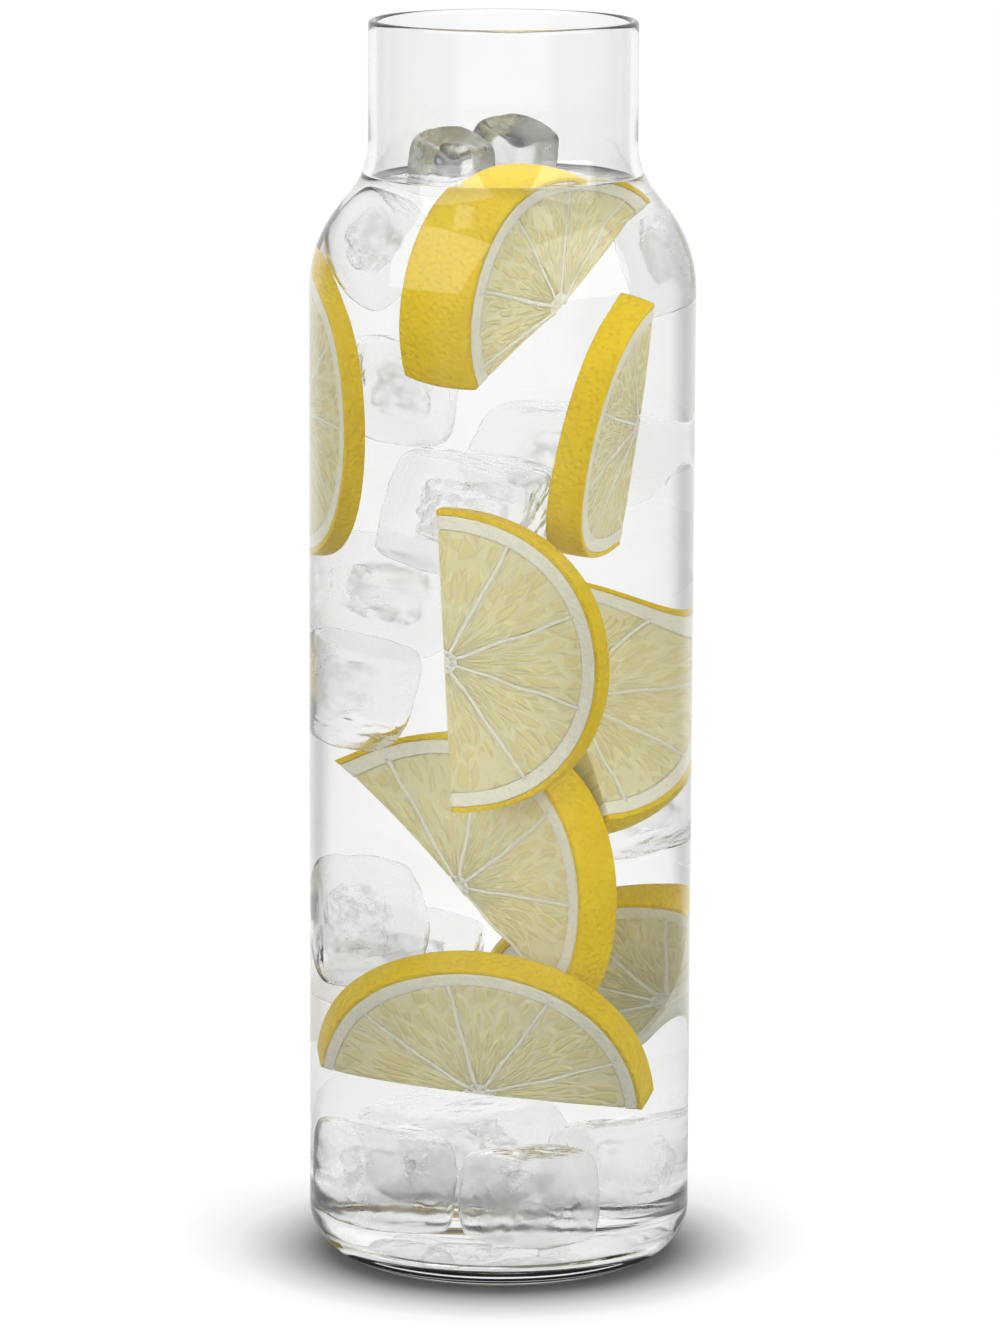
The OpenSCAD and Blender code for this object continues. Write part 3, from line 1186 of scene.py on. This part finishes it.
@dataclass
class Contents:
    """Everything in the water: each slice's place, width, thickness, turn and phase, and each cube's place,
    size, turn and, where it moves, body."""

    slices: tuple[LemonSlice, ...] = (
        LemonSlice("top_wedge", (0.092, -0.184, 0.627), 0.834, 0.242, (-101, -55, -119), -77),
        LemonSlice("left_slice", (-0.821, 0.29, 1.295), 0.927, 0.077, (-89, 3, -84), -82),
        LemonSlice("right_slice", (0.463, 0.142, 1.319), 0.854, 0.098, (-103, 17, -102), -70),
        LemonSlice("centre_slice", (-0.243, -0.382, 2.554), 0.962, 0.066, (92, -2, -23), -59),
        LemonSlice("back_slice", (0.205, 0.018, 2.847), 0.894, 0.123, (57, 5, 42), -79),
        LemonSlice("lower_slice", (-0.092, 0.062, 3.868), 0.989, 0.133, (91, -44, -48), -85),
        LemonSlice("low_right_slice", (0.626, 0.44, 4.578), 0.816, 0.107, (-120, -29, 180), -73),
        LemonSlice("bottom_slice", (-0.08, -0.305, 4.924), 0.97, 0.111, (167, -64, -87), -66),
    )
    floating: tuple[IceLump, ...] = (
        IceLump("ice_top_right", (0.05, 0.334, -0.072), 0.68, (8, 22, -42), Body.RIGHT_CUBE),
        IceLump("ice_top_left", (-0.285, 0.047, -0.042), 0.64, (20, -7, 43), Body.LEFT_CUBE),
    )
    sunk: tuple[IceLump, ...] = (
        IceLump("ice_shoulder_left", (-0.578, -0.059, 0.4), 0.73, (44, -44, -19)),
        IceLump("ice_shoulder_right", (0.658, 0.211, 0.495), 0.68, (19, -20, 3)),
        IceLump("ice_upper_left", (-0.435, -0.167, 1.11), 0.82, (-5, 25, -89)),
        IceLump("ice_upper_middle", (-0.157, -0.026, 1.791), 1.09, (76, 2, -110)),
        IceLump("ice_upper_back", (0.211, 0.579, 1.546), 0.91, (-3, 16, -38)),
        IceLump("ice_back_left", (-0.399, 0.421, 2.31), 0.9, (-56, 14, 4)),
        IceLump("ice_middle_left", (-0.624, 0.099, 2.805), 0.91, (-33, 14, 3)),
        IceLump("ice_lower_left", (-0.627, -0.101, 4.076), 1.0, (1, 41, -81)),
        IceLump("ice_lower_back", (-0.35, 0.459, 4.381), 0.91, (-45, 13, -9)),
        IceLump("ice_lower_right", (0.55, 0.288, 3.521), 0.68, (-34, -4, 47)),
        IceLump("ice_floor_left", (-0.521, -0.106, 5.509), 1.0, (2, 2, 20)),
        IceLump("ice_floor_front", (0.156, -0.497, 5.527), 0.95, (-1, 1, 35)),
        IceLump("ice_floor_right", (0.523, 0.209, 5.509), 0.95, (-5, 1, 35)),
        IceLump("ice_floor_back", (-0.105, 0.526, 5.443), 1.0, (16, -1, -39)),
    )

    def build(self, effects: Effects) -> None:
        """Makes every slice and every cube.

        Args:
            effects: the shared effects.
        """
        rind, pith, pulp = (f.material(effects) for f in (Rind(), Pith(), Pulp()))
        wet = clear_body("ice_in_water", 0.955, (0.955, 0.955, 0.95), 150.0, 0.0016, 0.6).material(effects)
        dry = clear_body("ice_in_air", 1.31, (0.95, 0.955, 0.96), 120.0, 0.0003, 0.5, 60.0).material(effects)
        heart = CloudyHeart().material(effects)
        for piece in self.slices:
            piece.build(rind, pith, pulp)
        for lump in self.floating + self.sunk:
            lump.build(wet, dry, heart)


# The studio


def stood(right: np.ndarray, up: np.ndarray, back: np.ndarray, place: np.ndarray) -> Matrix:
    """The matrix of a camera or a lamp: its three axes and its place as columns.

    Args:
        right: its X axis.
        up: its Y axis.
        back: its Z axis, since both look along minus Z.
        place: where it stands, in metres.

    Returns:
        The matrix.
    """
    matrix = np.eye(4)
    matrix[:3] = np.stack([right, up, back, place], -1)
    return Matrix(matrix.tolist())


@dataclass(frozen=True)
class Softbox:
    """A square soft lamp: its place and size in metres, and its power in watts."""

    name: str
    place: Triple
    size: float
    power: float

    def build(self, aim: float) -> None:
        """Adds the lamp, which points at the middle of the carafe.

        Args:
            aim: the height that it points at.
        """
        data = bpy.data.lights.new(self.name, "AREA")
        data.shape, data.size, data.energy = "SQUARE", self.size, self.power
        place = np.array(self.place)
        back = place - [0.0, 0.0, aim]
        back /= np.linalg.norm(back)
        right = np.cross([0.0, 0.0, 1.0], back)
        right /= np.linalg.norm(right)
        linked(self.name, data).matrix_world = stood(right, np.cross(back, right), back, place)


@dataclass
class Studio:
    """A white room: camera, floor, three soft lamps and a white surround with grey sides for glass.

    Lengths are metres and angles degrees. A painted shadow tone is a share of the painted shadow's reach and
    the floor's tone there; the painted shadow is a ring of tones that darkens the floor's colour and glow round
    the foot. A side starts and ends at a share of the way straight to the side.
    """

    aim: float = 0.12464
    distance: float = 1.331
    pitch: float = 10.55
    roll: float = -0.237
    lens: float = 172.2
    shift: float = -0.0008
    floor_size: float = 14.0
    floor_steps: int = 15
    floor_drop: float = 0.2 * MM
    floor_colour: Colour = (0.6, 0.6, 0.6, 1)
    # painted shadow: the dark colour that the floor's colour is blended towards under and round the foot
    painted_shadow_colour: Colour = (0.02, 0.02, 0.02, 1)
    surround: float = 0.55
    side_from: float = 0.55
    side_to: float = 0.8
    back_tone: float = 0.97
    side_tone: float = 0.45
    floor_glow: float = 0.42
    glass_glow: float = 0.25
    glow_from: float = 0.1
    glow_to: float = 0.4
    # painted shadow: its reach from the axis in metres, and the floor's tone at shares of that reach, darkest
    # just outside the foot
    painted_shadow_reach: float = 0.1
    painted_shadow_tones: tuple[tuple[float, float], ...] = (
        (0.0, 0.7), (0.27, 0.6), (0.32, 0.1), (0.36, 0.15), (0.42, 0.4), (0.48, 0.63), (0.56, 0.85),
        (0.7, 0.96), (1.0, 1.0))
    lamps: tuple[Softbox, ...] = (
        Softbox("left_softbox", (-1.0, -0.9, 1.1), 1.5, 13.0),
        Softbox("right_softbox", (1.1, -0.7, 0.9), 1.4, 12.0),
        Softbox("top_softbox", (0.0, 0.1, 1.5), 1.2, 8.0),
    )

    def camera(self) -> None:
        """Makes the camera: it looks along Y, downwards by the pitch, rolled about its own axis."""
        data = bpy.data.cameras.new("camera")
        data.sensor_fit, data.sensor_height = "VERTICAL", 36.0
        data.lens, data.shift_x = self.lens, self.shift
        data.clip_start, data.clip_end = 0.05, 50.0
        pitch, roll = math.radians(self.pitch), math.radians(self.roll)
        ahead = np.array([0.0, math.cos(pitch), -math.sin(pitch)])
        right, up = np.array([1.0, 0.0, 0.0]), np.array([0.0, math.sin(pitch), math.cos(pitch)])
        rolled_right = right * math.cos(roll) - up * math.sin(roll)
        rolled_up = right * math.sin(roll) + up * math.cos(roll)
        camera = linked("camera", data)
        place = [0.0, 0.0, self.aim] - ahead * self.distance
        camera.matrix_world = stood(rolled_right, rolled_up, -ahead, place)
        bpy.context.scene.camera = camera

    def bent_rays(self, g: Graph, path: Outputs) -> Socket:
        """Whether a ray comes from gloss or through glass."""
        return g.math("ADD", path["Is Glossy Ray"], path["Is Transmission Ray"], clamp=True)

    def side(self, g: Graph, path: Outputs, across: Socket, front_tone: float) -> Socket:
        """The grey sides: the tone falls as the way turns to the side, but stays white for lit things.

        Args:
            g: the material's graph.
            path: the ray's kind.
            across: how far the way turns to the side, from 0 to 1.
            front_tone: the tone in front and behind.

        Returns:
            The tone.
        """
        lit_things = g.math("GREATER_THAN", path["Diffuse Depth"], 0.5)
        tone = g.ramp(across, self.side_from, self.side_to, front_tone, self.side_tone)
        return g.math("MAXIMUM", tone, lit_things)

    def floor_material(self) -> Material:
        """The floor's finish: white to the camera far off, with a painted shadow under and round the foot: a
        soft dark ring of tones that darkens both its colour and its glow.

        Returns:
            The finish, whose glow fades near the object, so that lamps, the cast shadow and the painted shadow
            show there.
        """
        material = bpy.data.materials.new("studio_floor")
        material.use_nodes = True
        g = Graph(material.node_tree)
        path = g.add("ShaderNodeLightPath").outputs
        own = g.own_place()
        far = g.add("ShaderNodeVectorMath", {0: own}, operation="LENGTH").outputs["Value"]
        # painted shadow: a ring of tones by the distance from the axis, read off a colour ramp
        ramp = g.add("ShaderNodeValToRGB", {0: g.math("DIVIDE", far, self.painted_shadow_reach)})
        steps = ramp.color_ramp.elements
        for place, tone in self.painted_shadow_tones:
            step = steps[0] if place == 0.0 else steps[len(steps) - 1] if place == 1.0 else steps.new(place)
            step.position, step.color = place, (tone, tone, tone, 1)
        tone = g.add("ShaderNodeSeparateColor", {0: ramp.outputs[0]}).outputs[0]
        away = g.ramp(far, self.glow_from, self.glow_to)
        across = g.math("DIVIDE", g.math("ABSOLUTE", g.split(own)[0]), g.math("MAXIMUM", far, MM))
        side = self.side(g, path, across, self.back_tone)
        to_camera = g.math("MULTIPLY", path["Is Camera Ray"], g.ramp(away, 0.0, 1.0, self.floor_glow, 1.0))
        glass_glow = g.math("MULTIPLY", g.ramp(away, 0.0, 1.0, self.glass_glow, 1.0), side)
        to_glass = g.math("MULTIPLY", self.bent_rays(g, path), glass_glow)
        # the painted shadow's tone darkens the glow, and blends the base colour towards the painted shadow
        # colour
        glow = g.math("MULTIPLY", g.math("ADD", to_camera, to_glass), tone)
        lit = g.math("MULTIPLY", tone, g.math("SUBTRACT", 1.0, away))
        shader = g.add("ShaderNodeBsdfPrincipled", {
            "Base Color": g.blend(lit, self.painted_shadow_colour, self.floor_colour), "Roughness": 0.9,
            "Specular IOR Level": 0.0, "Emission Color": (1, 1, 1, 1), "Emission Strength": glow})
        g.add("ShaderNodeOutputMaterial", {"Surface": shader.outputs[0]})
        return material

    def floor(self) -> None:
        """Makes the floor: a plain pale sheet that shows white, with the object's cast shadow near the foot
        deepened by a painted shadow.
        """
        count = self.floor_steps
        steps = np.linspace(-self.floor_size, self.floor_size, count)
        x, y = np.meshgrid(steps, steps, indexing="ij")
        index = np.arange(count ** 2).reshape(count, count)
        faces = np.stack([index[:-1, :-1], index[1:, :-1], index[1:, 1:], index[:-1, 1:]], -1).reshape(-1, 4)
        mesh = bpy.data.meshes.new("studio_floor")
        points = np.stack([x, y, np.full_like(x, -self.floor_drop)], -1).reshape(-1, 3)
        mesh.from_pydata(points, [], faces.tolist())
        mesh.materials.append(self.floor_material())
        linked("studio_floor", mesh)

    def world(self) -> None:
        """Makes the surround: white to the camera, and white with grey sides to glass and gloss."""
        world = bpy.data.worlds.new("surround")
        world.use_nodes = True
        bpy.context.scene.world = world
        g = Graph(world.node_tree)
        path = g.add("ShaderNodeLightPath").outputs
        way = g.split(g.add("ShaderNodeTexCoord").outputs["Generated"])
        bent = self.bent_rays(g, path)
        for_glass = g.math("MULTIPLY", bent, self.side(g, path, g.math("ABSOLUTE", way[0]), 1.0))
        other = g.math("MULTIPLY", g.math("SUBTRACT", 1.0, bent), self.surround)
        level = g.math("MAXIMUM", g.math("ADD", for_glass, other), path["Is Camera Ray"])
        sky = g.add("ShaderNodeBackground", {"Color": (1, 1, 1, 1), "Strength": level})
        g.add("ShaderNodeOutputWorld", {"Surface": sky.outputs[0]})

    def build(self) -> None:
        """Makes the whole studio."""
        bpy.context.scene.view_settings.view_transform = "Standard"
        self.camera()
        self.floor()
        self.world()
        for lamp in self.lamps:
            lamp.build(self.aim)


def main() -> None:
    """Builds the studio, the glass, the water and what is in it."""
    logging.basicConfig(level=logging.INFO, format="%(message)s")
    Studio().build()
    effects = Effects(Mottle(), Dimples(), Vesicles())
    contents, glass = Contents(), CarafeGlass()
    drink = Drink(glass)
    clear = clear_body("clear_glass", GLASS_IOR, (0.985, 0.995, 0.99), 45.0, 0.00003)
    within = clear_body("water_within_glass", WATER_IOR / GLASS_IOR, (0.975, 0.972, 0.966), 40.0, 0.00002)
    glass.build(drink.wetted_to(), clear.material(effects), WettedWall().material(effects))
    drink.build(contents.floating, within.material(effects), WaterFace().material(effects))
    contents.build(effects)


if __name__ == "__main__":
    main()
